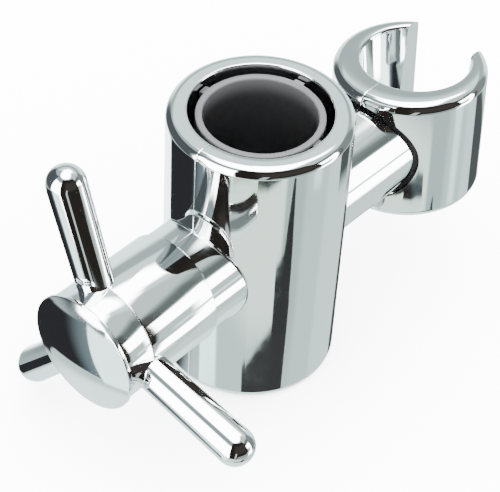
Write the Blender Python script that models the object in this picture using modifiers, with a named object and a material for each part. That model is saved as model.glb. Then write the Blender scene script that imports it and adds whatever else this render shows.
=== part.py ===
"""Shower rail slider: a clamp body that rides on a round riser rail, a screw knob with
three spokes that presses a brake shoe on the rail, and a cradle for a handset.

Metres, +Z up. The origin is on the rail's axis at the body's lower face. The knob is on
the -X side and the cradle on the +X side, and both turn about one level axis along X.
"""
import math

import bmesh
import bpy
from mathutils import Matrix

MM = 0.001

# Gaps between pieces
FIT_GAP = 0.3 * MM
RAIL_CLEARANCE = 0.4 * MM
KNOB_CLEARANCE = 0.6 * MM
SADDLE_GAP = 0.8 * MM

# Bush that lines the body, round the rail
RAIL_DIAMETER = 22.0 * MM
INSERT_WALL = 1.45 * MM
INSERT_INSET = 1.2 * MM
INSERT_RIBS = 4
INSERT_RIB_HEIGHT = 1.25 * MM
INSERT_RIB_WIDTH = 2.2 * MM
INSERT_RIB_INSET = 0.5 * MM
INSERT_RIB_TURN = math.radians(7.0)

# Body
BODY_WALL = 4.2 * MM
BODY_HEIGHT = 63.4 * MM
BODY_EDGE = 2.0 * MM
BORE_EDGE = 0.35 * MM
AXIS_HEIGHT = 32.0 * MM
BOSS_LENGTH = 5.6 * MM
SPIGOT_WALL = 3.3 * MM
SPIGOT_LENGTH = 4.0 * MM
STUB_DIAMETER = 22.8 * MM
STUB_LENGTH = 15.0 * MM

# Brake shoe, threaded bush and clamp screw
CLAMP_TRAVEL = 1.85 * MM
SHOE_DIAMETER = 12.4 * MM
SHOE_THICKNESS = 3.9 * MM
SHOE_WEB = 2.2 * MM
BUSH_HEAD_FLATS = 14.0 * MM
BUSH_HEAD_THICKNESS = 3.0 * MM
BUSH_WALL = 2.0 * MM
SCREW_DIAMETER = 7.4 * MM
SCREW_TIP_DIAMETER = 5.6 * MM
SCREW_HEAD_FLATS = 13.0 * MM
SCREW_HEAD_THICKNESS = 4.0 * MM

# Knob
KNOB_WALL = 1.9 * MM
KNOB_STEP = 0.7 * MM
KNOB_EDGE = 0.2 * MM
SKIRT_MARGIN = 2.2 * MM
SLEEVE_SHOULDER = 2.0 * MM
SLEEVE_LENGTH = 17.1 * MM
HUB_LENGTH = 6.5 * MM
HUB_RECESS = 1.5 * MM
HUB_SCREW_DIAMETER = 4.4 * MM
HUB_SCREW_LENGTH = 16.0 * MM
HUB_SCREW_HEAD = 8.4 * MM
HUB_SCREW_HEAD_THICKNESS = 2.2 * MM
HUB_SCREW_SEAT_DEPTH = 3.7 * MM
CAP_OVERHANG = 0.55 * MM
CAP_RIM = 0.7 * MM
CAP_DOME = 2.1 * MM
CAP_WALL = 1.1 * MM
CAP_SKIRT_LENGTH = 1.3 * MM

# Spokes
SPOKES = 3
SPOKE_TURN = math.radians(19.0)
SPOKE_REACH = 37.4 * MM
SPOKE_ROOT = 6.2 * MM
SPOKE_ROOT_DIAMETER = 7.3 * MM
SPOKE_TIP_DIAMETER = 7.9 * MM
SPOKE_NECK_DIAMETER = 5.4 * MM
SPOKE_NECK_START = 7.7 * MM
SPOKE_NECK_LENGTH = 1.8 * MM

# Cradle and what holds it in the stub
CRADLE_BORE_TOP = 24.0 * MM
CRADLE_BORE_TAPER = 3.6 * MM
CRADLE_BORE_OFFSET = 1.85 * MM
CRADLE_BORE_EDGE = 0.8 * MM
CRADLE_WALL = 4.9 * MM
CRADLE_HEIGHT = 30.8 * MM
CRADLE_DROP = 0.55 * MM
CRADLE_EDGE = 2.2 * MM
CRADLE_MOUTH = 17.2 * MM
CRADLE_MOUTH_EDGE = 0.6 * MM
CRADLE_TILT = math.radians(-3.6)
SOCKET_DEPTH = 6.1 * MM
CRADLE_SPIGOT_DIAMETER = 14.2 * MM
CRADLE_SCREW_DIAMETER = 4.7 * MM
CRADLE_SCREW_LENGTH = 17.5 * MM
CRADLE_SCREW_HEAD = 8.6 * MM
CRADLE_SCREW_HEAD_THICKNESS = 2.4 * MM
CRADLE_SCREW_SEAT_DEPTH = 2.3 * MM
STUB_NUT_WALL = 1.65 * MM
STUB_NUT_LENGTH = 8.6 * MM
WASHER_THICKNESS = 0.7 * MM

# Facets
ROUND_STEPS = 60
SMALL_STEPS = 28
ARC_STEPS = 3
MERGE = 0.00001

# Radii that several pieces share
INSERT_INNER_R = RAIL_DIAMETER / 2 + RAIL_CLEARANCE
INSERT_OUTER_R = INSERT_INNER_R + INSERT_WALL
BORE_R = INSERT_OUTER_R + INSERT_RIB_HEIGHT + FIT_GAP
BODY_R = BORE_R + BODY_WALL
SCREW_R = SCREW_DIAMETER / 2
BUSH_R = SCREW_R + FIT_GAP + BUSH_WALL
SPIGOT_R = BUSH_R + FIT_GAP + SPIGOT_WALL
KNOB_INNER_R = SPIGOT_R + KNOB_CLEARANCE
KNOB_R = KNOB_INNER_R + KNOB_WALL
BOSS_R = KNOB_R - KNOB_STEP
CRADLE_R = CRADLE_BORE_TOP / 2 + CRADLE_WALL
CRADLE_SCREW_HOLE_R = CRADLE_SCREW_DIAMETER / 2 + FIT_GAP
STUB_NUT_R = CRADLE_SCREW_HOLE_R + STUB_NUT_WALL

# Distances from the rail's axis towards the knob
SHOE_FACE = RAIL_DIAMETER / 2
SHOE_BACK = SHOE_FACE + SHOE_THICKNESS
BUSH_START = SHOE_BACK + CLAMP_TRAVEL + FIT_GAP
BUSH_HEAD_END = BUSH_START + BUSH_HEAD_THICKNESS
BOSS_END = BODY_R + BOSS_LENGTH
SPIGOT_END = BOSS_END + SPIGOT_LENGTH
KNOB_START = BOSS_END + FIT_GAP
SKIRT_FLOOR = KNOB_START + SPIGOT_LENGTH + SKIRT_MARGIN
SCREW_HEAD_START = SKIRT_FLOOR + SLEEVE_SHOULDER + FIT_GAP
SCREW_HEAD_END = SCREW_HEAD_START + SCREW_HEAD_THICKNESS
KNOB_SPLIT = KNOB_START + SLEEVE_LENGTH
KNOB_END = KNOB_SPLIT + HUB_LENGTH
HUB_SCREW_SEAT = KNOB_END - HUB_SCREW_SEAT_DEPTH
HUB_SCREW_HEAD_START = HUB_SCREW_SEAT + WASHER_THICKNESS + 2 * FIT_GAP

# Distances from the rail's axis towards the cradle
CRADLE_BACK = BODY_R + STUB_LENGTH + SADDLE_GAP
CRADLE_CENTRE = CRADLE_BACK + CRADLE_R
CRADLE_BORE_CENTRE = CRADLE_CENTRE + CRADLE_BORE_OFFSET
SOCKET_FLOOR = CRADLE_BACK - SOCKET_DEPTH
NUT_FLOOR = SOCKET_FLOOR - STUB_NUT_LENGTH - 2 * FIT_GAP
CRADLE_SPIGOT_END = SOCKET_FLOOR + WASHER_THICKNESS + 2 * FIT_GAP
CRADLE_SCREW_SEAT = CRADLE_BACK + CRADLE_SCREW_SEAT_DEPTH
CRADLE_SCREW_HEAD_START = CRADLE_SCREW_SEAT + WASHER_THICKNESS + 2 * FIT_GAP

KNOB_SIDE = -1
CRADLE_SIDE = 1


def clear_scene():
    for obj in list(bpy.data.objects):
        bpy.data.objects.remove(obj, do_unlink=True)


def new_collection(name):
    collection = bpy.data.collections.new(name)
    bpy.context.scene.collection.children.link(collection)
    return collection


def make_material(name, colour, roughness, metallic):
    mat = bpy.data.materials.new(name)
    mat.use_nodes = True
    shader = mat.node_tree.nodes["Principled BSDF"]
    shader.inputs["Base Color"].default_value = (*colour, 1.0)
    shader.inputs["Roughness"].default_value = roughness
    shader.inputs["Metallic"].default_value = metallic
    return mat


def new_object(collection, name, mesh, mat=None):
    """Link a mesh as an object: a part with its material, or a hidden cutter without one."""
    obj = bpy.data.objects.new(name, mesh)
    collection.objects.link(obj)
    if mat is None:
        obj.hide_render = True
        obj.display_type = "WIRE"
    else:
        mesh.materials.append(mat)
    return obj


def lay_on_axis(obj, side):
    """Turn an object's own Z to the level axis, away from the rail on one side."""
    obj.location = (0.0, 0.0, AXIS_HEIGHT)
    obj.rotation_euler = (0.0, side * math.pi / 2, 0.0)
    return obj


def arc(centre_r, centre_z, radius, start, end, steps=ARC_STEPS):
    """Points of an arc in a profile, with angles in degrees from the outward direction."""
    points = []
    for i in range(steps + 1):
        angle = math.radians(start + (end - start) * i / steps)
        points.append((centre_r + radius * math.cos(angle), centre_z + radius * math.sin(angle)))
    return points


def turned(collection, name, profile, mat=None, closed=False, steps=SMALL_STEPS):
    """Turn a profile of (radius, height) points about the object's own Z."""
    mesh = bpy.data.meshes.new(name)
    edges = [(i, i + 1) for i in range(len(profile) - 1)]
    if closed:
        edges.append((len(profile) - 1, 0))
    mesh.from_pydata([(r, 0.0, z) for r, z in profile], edges, [])
    obj = new_object(collection, name, mesh, mat)
    screw = obj.modifiers.new("turn", "SCREW")
    screw.axis = "Z"
    screw.angle = 2 * math.pi
    screw.steps = steps
    screw.render_steps = steps
    screw.use_merge_vertices = True
    screw.merge_threshold = MERGE
    screw.use_smooth_shade = True
    return obj


def hexagon(collection, name, across_flats, low, high):
    """A hexagonal prism along the object's own Z."""
    corner_r = across_flats / 2 / math.cos(math.pi / 6)
    middle = Matrix.Translation((0.0, 0.0, (low + high) / 2))
    bm = bmesh.new()
    bmesh.ops.create_cone(bm, cap_ends=True, segments=6, radius1=corner_r, radius2=corner_r,
                          depth=high - low, matrix=middle)
    mesh = bpy.data.meshes.new(name)
    bm.to_mesh(mesh)
    bm.free()
    return new_object(collection, name, mesh)


def block(collection, name, low, high):
    """A block between two opposite corners in the object's own frame."""
    size = [b - a for a, b in zip(low, high)]
    middle = [(a + b) / 2 for a, b in zip(low, high)]
    bm = bmesh.new()
    bmesh.ops.create_cube(bm, size=1.0, matrix=Matrix.Translation(middle) @ Matrix.Diagonal((*size, 1.0)))
    mesh = bpy.data.meshes.new(name)
    bm.to_mesh(mesh)
    bm.free()
    return new_object(collection, name, mesh)


def combine(obj, other, operation):
    """Add the other shape to obj with UNION, or cut it away with DIFFERENCE."""
    boolean = obj.modifiers.new(other.name, "BOOLEAN")
    boolean.operation = operation
    boolean.solver = "EXACT"
    boolean.object = other


def plug(low, high, radius):
    """Profile of a solid cylinder."""
    return [(0.0, high), (radius, high), (radius, low), (0.0, low)]


def stepped_plug(low, step, high, low_radius, high_radius):
    """Profile of a solid cylinder that changes its radius at a step."""
    return [(0.0, high), (high_radius, high), (high_radius, step), (low_radius, step),
            (low_radius, low), (0.0, low)]


def rounded_plug(low, high, radius, edge):
    """Profile of a solid cylinder with rounded ends."""
    upper = arc(radius - edge, high - edge, edge, 90, 0)
    lower = arc(radius - edge, low + edge, edge, 0, -90)
    return [(0.0, high), *upper, *lower, (0.0, low)]


def flared_bore(low, high, low_radius, high_radius, edge):
    """Profile of a cutter for a bore whose two mouths open in a small round."""
    upper = arc(high_radius + edge, high - edge, edge, 90, 180, ARC_STEPS - 1)
    lower = arc(low_radius + edge, low + edge, edge, 180, 270, ARC_STEPS - 1)
    return [(0.0, high + edge), (high_radius + edge, high + edge), *upper, *lower,
            (low_radius + edge, low - edge), (0.0, low - edge)]


def tube(low, high, outer, inner):
    """Closed profile of a tube."""
    return [(inner, high), (outer, high), (outer, low), (inner, low)]


def make_body(parts, cutters, chrome):
    """Tube, boss and stub in one moulding. The stub ends in a saddle round the cradle."""
    body = turned(parts, "slider_body", rounded_plug(0.0, BODY_HEIGHT, BODY_R, BODY_EDGE), chrome,
                  steps=ROUND_STEPS)
    boss = turned(cutters, "boss_core", stepped_plug(0.0, BOSS_END, SPIGOT_END, BOSS_R, SPIGOT_R),
                  steps=ROUND_STEPS)
    combine(body, lay_on_axis(boss, KNOB_SIDE), "UNION")

    stub = turned(cutters, "stub_core", plug(0.0, CRADLE_CENTRE, STUB_DIAMETER / 2), steps=ROUND_STEPS)
    saddle = turned(cutters, "saddle_shape", plug(0.0, BODY_HEIGHT, CRADLE_R + SADDLE_GAP),
                    steps=ROUND_STEPS)
    saddle.location = (CRADLE_CENTRE, 0.0, 0.0)
    combine(lay_on_axis(stub, CRADLE_SIDE), saddle, "DIFFERENCE")
    combine(body, stub, "UNION")

    bore = turned(cutters, "body_bore", flared_bore(0.0, BODY_HEIGHT, BORE_R, BORE_R, BORE_EDGE),
                  steps=ROUND_STEPS)
    combine(body, bore, "DIFFERENCE")
    pocket = hexagon(cutters, "bush_pocket", BUSH_HEAD_FLATS + 2 * FIT_GAP, INSERT_INNER_R,
                     BUSH_HEAD_END + FIT_GAP)
    combine(body, lay_on_axis(pocket, KNOB_SIDE), "DIFFERENCE")
    passage = turned(cutters, "bush_passage",
                     plug(INSERT_INNER_R, SPIGOT_END + BODY_EDGE, BUSH_R + FIT_GAP))
    combine(body, lay_on_axis(passage, KNOB_SIDE), "DIFFERENCE")
    socket = turned(cutters, "stub_socket",
                    stepped_plug(NUT_FLOOR, SOCKET_FLOOR, CRADLE_CENTRE, STUB_NUT_R + FIT_GAP,
                                 CRADLE_SPIGOT_DIAMETER / 2 + FIT_GAP))
    combine(body, lay_on_axis(socket, CRADLE_SIDE), "DIFFERENCE")


def make_insert(parts, cutters, plastic):
    """Thin bush for the rail, held clear of the bore by lengthwise ribs, with a shoe window."""
    low = INSERT_INSET
    high = BODY_HEIGHT - INSERT_INSET
    bush = turned(parts, "rail_insert", tube(low, high, INSERT_OUTER_R, INSERT_INNER_R), plastic,
                  closed=True, steps=ROUND_STEPS)
    for i in range(INSERT_RIBS):
        rib = block(cutters, f"insert_rib_{i + 1}",
                    (INSERT_OUTER_R - INSERT_WALL / 2, -INSERT_RIB_WIDTH / 2, low + INSERT_RIB_INSET),
                    (BORE_R - FIT_GAP, INSERT_RIB_WIDTH / 2, high - INSERT_RIB_INSET))
        rib.rotation_euler = (0.0, 0.0, INSERT_RIB_TURN + 2 * math.pi * i / INSERT_RIBS)
        combine(bush, rib, "UNION")
    window = turned(cutters, "shoe_window", plug(INSERT_INNER_R / 2, BORE_R, SHOE_DIAMETER / 2 + FIT_GAP))
    combine(bush, lay_on_axis(window, KNOB_SIDE), "DIFFERENCE")


def make_shoe(parts, cutters, plastic):
    """Round brake shoe with a face hollowed to the rail and a hole for the screw's tip."""
    shoe = turned(parts, "brake_shoe", plug(SHOE_FACE / 2, SHOE_BACK, SHOE_DIAMETER / 2), plastic)
    rail = turned(cutters, "rail_shape", plug(0.0, BODY_HEIGHT, SHOE_FACE), steps=ROUND_STEPS)
    combine(lay_on_axis(shoe, KNOB_SIDE), rail, "DIFFERENCE")
    hole = turned(cutters, "shoe_hole",
                  plug(SHOE_FACE + SHOE_WEB, BUSH_START, SCREW_TIP_DIAMETER / 2 + FIT_GAP))
    combine(shoe, lay_on_axis(hole, KNOB_SIDE), "DIFFERENCE")


def make_threaded_bush(parts, cutters, brass):
    """Brass bush put in from the bore. Its hexagonal head takes the clamp's pull and turn."""
    bush = turned(parts, "threaded_bush", plug(BUSH_START, SPIGOT_END - FIT_GAP, BUSH_R), brass)
    head = hexagon(cutters, "bush_head", BUSH_HEAD_FLATS, BUSH_START, BUSH_HEAD_END)
    combine(lay_on_axis(bush, KNOB_SIDE), lay_on_axis(head, KNOB_SIDE), "UNION")
    hole = turned(cutters, "bush_hole", plug(BUSH_START - FIT_GAP, SPIGOT_END, SCREW_R + FIT_GAP))
    combine(bush, lay_on_axis(hole, KNOB_SIDE), "DIFFERENCE")


def make_clamp_screw(parts, cutters, steel):
    """Screw through the bush: its tip presses the shoe, its hexagonal head drives the knob."""
    tip_r = SCREW_TIP_DIAMETER / 2
    tip = SHOE_FACE + SHOE_WEB + FIT_GAP
    neck = SHOE_BACK + FIT_GAP
    screw = turned(parts, "clamp_screw", [
        (0.0, SCREW_HEAD_START + FIT_GAP), (SCREW_R, SCREW_HEAD_START + FIT_GAP), (SCREW_R, neck + FIT_GAP),
        (tip_r, neck), (tip_r, tip + FIT_GAP), (tip_r - FIT_GAP, tip), (0.0, tip)], steel)
    head = hexagon(cutters, "screw_head", SCREW_HEAD_FLATS, SCREW_HEAD_START, SCREW_HEAD_END)
    combine(lay_on_axis(screw, KNOB_SIDE), lay_on_axis(head, KNOB_SIDE), "UNION")
    tapping = turned(cutters, "screw_tapping",
                     plug(HUB_SCREW_HEAD_START - HUB_SCREW_LENGTH - HUB_SCREW_DIAMETER / 2,
                          SCREW_HEAD_END + FIT_GAP, HUB_SCREW_DIAMETER / 2 + FIT_GAP))
    combine(screw, lay_on_axis(tapping, KNOB_SIDE), "DIFFERENCE")


def spoke_profile(clearance=0.0):
    """Profile of a spoke from its round nose to the root, with a neck inside the hub."""
    tip_r = SPOKE_TIP_DIAMETER / 2 + clearance
    root_r = SPOKE_ROOT_DIAMETER / 2 + clearance
    neck_r = SPOKE_NECK_DIAMETER / 2 + clearance
    root = SPOKE_ROOT - clearance
    neck_low = SPOKE_NECK_START + clearance
    neck_high = SPOKE_NECK_START + SPOKE_NECK_LENGTH - clearance
    nose = arc(0.0, SPOKE_REACH - SPOKE_TIP_DIAMETER / 2, tip_r, 90, 0, 2 * ARC_STEPS)
    return [(0.0, nose[0][1]), *nose[1:], (root_r, neck_high), (neck_r, neck_high), (neck_r, neck_low),
            (root_r, neck_low), (root_r, root), (0.0, root)]


def point_spoke(obj, number):
    """Stand a spoke on the level axis at the knob's split, pointing away from the axis."""
    obj.location = (-KNOB_SPLIT, 0.0, AXIS_HEIGHT)
    obj.rotation_euler = (-SPOKE_TURN - 2 * math.pi * number / SPOKES, 0.0, 0.0)
    return obj


def make_spokes(parts, cutters, chrome):
    """Spokes that the two knob halves grip by their necks, and the seats they leave there."""
    seats = []
    for i in range(SPOKES):
        spoke = turned(parts, f"spoke_{i + 1}", spoke_profile(), chrome)
        point_spoke(spoke, i)
        seat = turned(cutters, f"spoke_seat_{i + 1}", spoke_profile(FIT_GAP))
        seats.append(point_spoke(seat, i))
    return seats


def make_sleeve(parts, cutters, chrome, seats):
    """Rear half of the knob: a skirt over the spigot, a shoulder and a hexagonal pocket."""
    end = KNOB_SPLIT - FIT_GAP / 2
    sleeve = turned(parts, "knob_sleeve", [
        (0.0, end), (KNOB_R - KNOB_EDGE, end), (KNOB_R, end - KNOB_EDGE), (KNOB_R, KNOB_START + KNOB_EDGE),
        (KNOB_R - KNOB_EDGE, KNOB_START), (KNOB_INNER_R, KNOB_START), (KNOB_INNER_R, SKIRT_FLOOR),
        (0.0, SKIRT_FLOOR)], chrome, steps=ROUND_STEPS)
    lay_on_axis(sleeve, KNOB_SIDE)
    pocket = hexagon(cutters, "sleeve_pocket", SCREW_HEAD_FLATS + 2 * FIT_GAP,
                     SCREW_HEAD_START - FIT_GAP, KNOB_SPLIT)
    combine(sleeve, lay_on_axis(pocket, KNOB_SIDE), "DIFFERENCE")
    passage = turned(cutters, "sleeve_passage", plug(SKIRT_FLOOR - FIT_GAP, KNOB_SPLIT, SCREW_R + FIT_GAP))
    combine(sleeve, lay_on_axis(passage, KNOB_SIDE), "DIFFERENCE")
    for seat in seats:
        combine(sleeve, seat, "DIFFERENCE")


def make_hub(parts, cutters, chrome, seats):
    """Front half of the knob, with a recess for the cap and a seat for the hub screw."""
    start = KNOB_SPLIT + FIT_GAP / 2
    seat_r = HUB_SCREW_HEAD / 2 + FIT_GAP
    hole_r = HUB_SCREW_DIAMETER / 2 + FIT_GAP
    hub = turned(parts, "knob_hub", [
        (KNOB_INNER_R, KNOB_END), (KNOB_R - KNOB_EDGE, KNOB_END), (KNOB_R, KNOB_END - KNOB_EDGE),
        (KNOB_R, start + KNOB_EDGE), (KNOB_R - KNOB_EDGE, start), (hole_r, start), (hole_r, HUB_SCREW_SEAT),
        (seat_r, HUB_SCREW_SEAT), (seat_r, KNOB_END - HUB_RECESS), (KNOB_INNER_R, KNOB_END - HUB_RECESS)],
        chrome, closed=True, steps=ROUND_STEPS)
    lay_on_axis(hub, KNOB_SIDE)
    for seat in seats:
        combine(hub, seat, "DIFFERENCE")


def make_cap(parts, chrome):
    """Thin domed cap, pressed into the hub's recess by a short skirt, over the hub screw."""
    low = KNOB_END + FIT_GAP
    high = low + CAP_RIM
    rim_r = KNOB_R + CAP_OVERHANG
    dome_edge_r = rim_r - KNOB_EDGE
    dome_r = (dome_edge_r ** 2 + CAP_DOME ** 2) / (2 * CAP_DOME)
    dome_z = high + CAP_DOME - dome_r
    half_angle = math.degrees(math.asin(dome_edge_r / dome_r))
    outside = arc(0.0, dome_z, dome_r, 90, 90 - half_angle, ARC_STEPS + 1)
    skirt_outer = KNOB_INNER_R - FIT_GAP
    skirt_inner = skirt_outer - CAP_WALL
    inner_r = dome_r - CAP_WALL
    inner_angle = math.degrees(math.asin(skirt_inner / inner_r))
    inside = arc(0.0, dome_z, inner_r, 90 - inner_angle, 90, ARC_STEPS)
    cap = turned(parts, "knob_cap", [
        (0.0, outside[0][1]), *outside[1:], (rim_r, high - KNOB_EDGE), (rim_r, low + KNOB_EDGE),
        (rim_r - KNOB_EDGE, low), (skirt_outer, low), (skirt_outer, low - CAP_SKIRT_LENGTH),
        (skirt_inner, low - CAP_SKIRT_LENGTH), *inside[:-1], (0.0, inside[-1][1])],
        chrome, steps=ROUND_STEPS)
    lay_on_axis(cap, KNOB_SIDE)


def make_pan_screw(parts, cutters, name, side, diameter, length, head, thickness, seat, steel):
    """Pan head screw whose head starts at seat and whose shank points to the rail."""
    top = seat + thickness
    edge = thickness / 3
    screw = turned(parts, name, [
        (0.0, top), *arc(head / 2 - edge, top - edge, edge, 90, 0), (head / 2, seat), (diameter / 2, seat),
        (diameter / 2, seat - length + diameter / 4), (diameter / 4, seat - length), (0.0, seat - length)],
        steel)
    lay_on_axis(screw, side)
    recess = hexagon(cutters, f"{name}_recess", head / 3, top - thickness / 2, top + FIT_GAP)
    combine(screw, lay_on_axis(recess, side), "DIFFERENCE")


def make_washer(parts, name, side, seat, outer, inner, mat):
    """Flat washer that lies a fit gap away from its seat."""
    low = seat + FIT_GAP
    washer = turned(parts, name, tube(low, low + WASHER_THICKNESS, outer, inner), mat, closed=True)
    lay_on_axis(washer, side)


def make_stub_nut(parts, brass):
    """Brass insert in the stub for the cradle's screw."""
    low = NUT_FLOOR + FIT_GAP
    nut = turned(parts, "stub_nut", tube(low, low + STUB_NUT_LENGTH, STUB_NUT_R, CRADLE_SCREW_HOLE_R),
                 brass, closed=True)
    lay_on_axis(nut, CRADLE_SIDE)


def mouth_cutter(cutters):
    """Upright slot for the cradle's mouth, widening in a small round at the outer wall."""
    half = CRADLE_MOUTH / 2
    lip_x = CRADLE_CENTRE + math.sqrt(CRADLE_R ** 2 - half ** 2)
    outline = [(CRADLE_BORE_CENTRE, half), *arc(lip_x - CRADLE_MOUTH_EDGE, half + CRADLE_MOUTH_EDGE,
                                                CRADLE_MOUTH_EDGE, 270, 360),
               (lip_x, half + CRADLE_WALL), (lip_x + CRADLE_WALL, half + CRADLE_WALL)]
    outline += [(x, -y) for x, y in reversed(outline)]
    bm = bmesh.new()
    bottom = bm.faces.new([bm.verts.new((x, y, -CRADLE_HEIGHT)) for x, y in reversed(outline)])
    top = bmesh.ops.extrude_face_region(bm, geom=[bottom])["geom"]
    lift = [v for v in top if isinstance(v, bmesh.types.BMVert)]
    bmesh.ops.translate(bm, verts=lift, vec=(0.0, 0.0, 2 * CRADLE_HEIGHT))
    bmesh.ops.recalc_face_normals(bm, faces=bm.faces)
    mesh = bpy.data.meshes.new("cradle_mouth")
    bm.to_mesh(mesh)
    bm.free()
    return new_object(cutters, "cradle_mouth", mesh)


def make_cradle(parts, cutters, chrome):
    """Open ring with a tapered bore set off-centre, and the spigot that it turns on."""
    pivot = bpy.data.objects.new("cradle_pivot", None)
    parts.objects.link(pivot)
    pivot.location = (0.0, 0.0, AXIS_HEIGHT)
    pivot.rotation_euler = (CRADLE_TILT, 0.0, 0.0)

    low = -CRADLE_HEIGHT / 2 - CRADLE_DROP
    high = CRADLE_HEIGHT / 2 - CRADLE_DROP
    cradle = turned(parts, "cradle", rounded_plug(low, high, CRADLE_R, CRADLE_EDGE), chrome,
                    steps=ROUND_STEPS)
    cradle.location = (CRADLE_CENTRE, 0.0, 0.0)
    spigot = turned(cutters, "cradle_spigot",
                    plug(CRADLE_SPIGOT_END, CRADLE_SCREW_SEAT, CRADLE_SPIGOT_DIAMETER / 2))
    spigot.rotation_euler = (0.0, math.pi / 2, 0.0)
    bore_top = CRADLE_BORE_TOP / 2
    bore_bottom = bore_top - CRADLE_BORE_TAPER / 2
    bore = turned(cutters, "cradle_bore", flared_bore(low, high, bore_bottom, bore_top, CRADLE_BORE_EDGE),
                  steps=ROUND_STEPS)
    bore.location = (CRADLE_BORE_CENTRE, 0.0, 0.0)
    mouth = mouth_cutter(cutters)
    passage = turned(cutters, "cradle_screw_passage",
                     stepped_plug(SOCKET_FLOOR, CRADLE_SCREW_SEAT, CRADLE_CENTRE, CRADLE_SCREW_HOLE_R,
                                  CRADLE_SCREW_HEAD / 2 + FIT_GAP))
    passage.rotation_euler = (0.0, math.pi / 2, 0.0)
    combine(cradle, spigot, "UNION")
    for cutter in (bore, mouth, passage):
        combine(cradle, cutter, "DIFFERENCE")
    for obj in (cradle, spigot, bore, mouth, passage):
        obj.parent = pivot


def main():
    clear_scene()
    parts = new_collection("shower_rail_slider")
    cutters = new_collection("cutters")
    chrome = make_material("chrome_plated_abs", (0.82, 0.84, 0.84), 0.08, 1.0)
    dark_plastic = make_material("dark_grey_plastic", (0.05, 0.05, 0.055), 0.5, 0.0)
    shoe_plastic = make_material("black_shoe_plastic", (0.015, 0.015, 0.016), 0.6, 0.0)
    brass = make_material("machined_brass", (0.78, 0.57, 0.25), 0.3, 1.0)
    steel = make_material("zinc_plated_steel", (0.6, 0.61, 0.62), 0.35, 1.0)

    make_body(parts, cutters, chrome)
    make_insert(parts, cutters, dark_plastic)
    make_shoe(parts, cutters, shoe_plastic)
    make_threaded_bush(parts, cutters, brass)
    make_clamp_screw(parts, cutters, steel)
    seats = make_spokes(parts, cutters, chrome)
    make_sleeve(parts, cutters, chrome, seats)
    make_hub(parts, cutters, chrome, seats)
    make_cap(parts, chrome)
    make_pan_screw(parts, cutters, "hub_screw", KNOB_SIDE, HUB_SCREW_DIAMETER, HUB_SCREW_LENGTH,
                   HUB_SCREW_HEAD, HUB_SCREW_HEAD_THICKNESS, HUB_SCREW_HEAD_START, steel)
    make_washer(parts, "hub_washer", KNOB_SIDE, HUB_SCREW_SEAT, HUB_SCREW_HEAD / 2,
                HUB_SCREW_DIAMETER / 2 + FIT_GAP, steel)
    make_cradle(parts, cutters, chrome)
    make_stub_nut(parts, brass)
    make_washer(parts, "friction_washer", CRADLE_SIDE, SOCKET_FLOOR, CRADLE_SPIGOT_DIAMETER / 2,
                CRADLE_SCREW_HOLE_R, shoe_plastic)
    make_washer(parts, "spring_washer", CRADLE_SIDE, CRADLE_SCREW_SEAT, CRADLE_SCREW_HEAD / 2,
                CRADLE_SCREW_HOLE_R, steel)
    make_pan_screw(parts, cutters, "cradle_screw", CRADLE_SIDE, CRADLE_SCREW_DIAMETER, CRADLE_SCREW_LENGTH,
                   CRADLE_SCREW_HEAD, CRADLE_SCREW_HEAD_THICKNESS, CRADLE_SCREW_HEAD_START, steel)


main()
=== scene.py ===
import math

import bmesh
import bpy
from mathutils import Matrix, Vector


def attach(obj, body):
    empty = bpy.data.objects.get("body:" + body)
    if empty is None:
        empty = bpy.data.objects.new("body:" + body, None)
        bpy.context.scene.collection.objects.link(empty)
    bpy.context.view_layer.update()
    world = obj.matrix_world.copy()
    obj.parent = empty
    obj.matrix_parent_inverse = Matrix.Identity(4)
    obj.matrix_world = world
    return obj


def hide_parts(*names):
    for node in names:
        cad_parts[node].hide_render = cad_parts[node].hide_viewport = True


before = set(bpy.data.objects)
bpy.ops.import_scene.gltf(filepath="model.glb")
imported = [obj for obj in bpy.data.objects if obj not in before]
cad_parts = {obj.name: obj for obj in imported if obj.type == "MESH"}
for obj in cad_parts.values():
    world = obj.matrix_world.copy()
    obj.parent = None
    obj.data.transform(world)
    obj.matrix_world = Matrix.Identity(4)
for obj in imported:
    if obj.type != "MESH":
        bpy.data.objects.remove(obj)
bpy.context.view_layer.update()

MM = 0.001


# Camera
# Stands as far off as a long lens does for a product picture, above the knob's end, and turned
# a little about its line of sight.
camera_place = Vector((-0.20254, -0.16542, 0.27626))
camera_back = Vector((-0.559475, -0.458790, 0.690289)).normalized()
camera_roll = math.radians(3.576)
level = Vector((0.0, 0.0, 1.0)).cross(camera_back).normalized()
upright = camera_back.cross(level)
camera_right = math.cos(camera_roll) * level + math.sin(camera_roll) * upright
camera_up = math.cos(camera_roll) * upright - math.sin(camera_roll) * level
camera_data = bpy.data.cameras.new("product_camera")
camera_data.sensor_width = 36.0
camera_data.lens = 124.905
camera_data.clip_start = 0.01
camera_data.clip_end = 20.0
camera = bpy.data.objects.new("product_camera", camera_data)
camera.matrix_world = Matrix.Translation(camera_place) @ Matrix((
    (*camera_right, 0.0), (*camera_up, 0.0), (*camera_back, 0.0), (0.0, 0.0, 0.0, 1.0))).transposed()
bpy.context.scene.collection.objects.link(camera)
bpy.context.scene.camera = camera


# Table
# A plain pale table top that the slider stands on. Chrome mirrors the studio and not the table,
# as it does over a lit acrylic sheet.
TABLE_SIDE = 8.0
TABLE_DROP = 0.02 * MM


def new_material(name):
    """A material with nodes, its tree and its shader."""
    mat = bpy.data.materials.new(name)
    mat.use_nodes = True
    return mat, mat.node_tree, mat.node_tree.nodes["Principled BSDF"]


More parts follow.
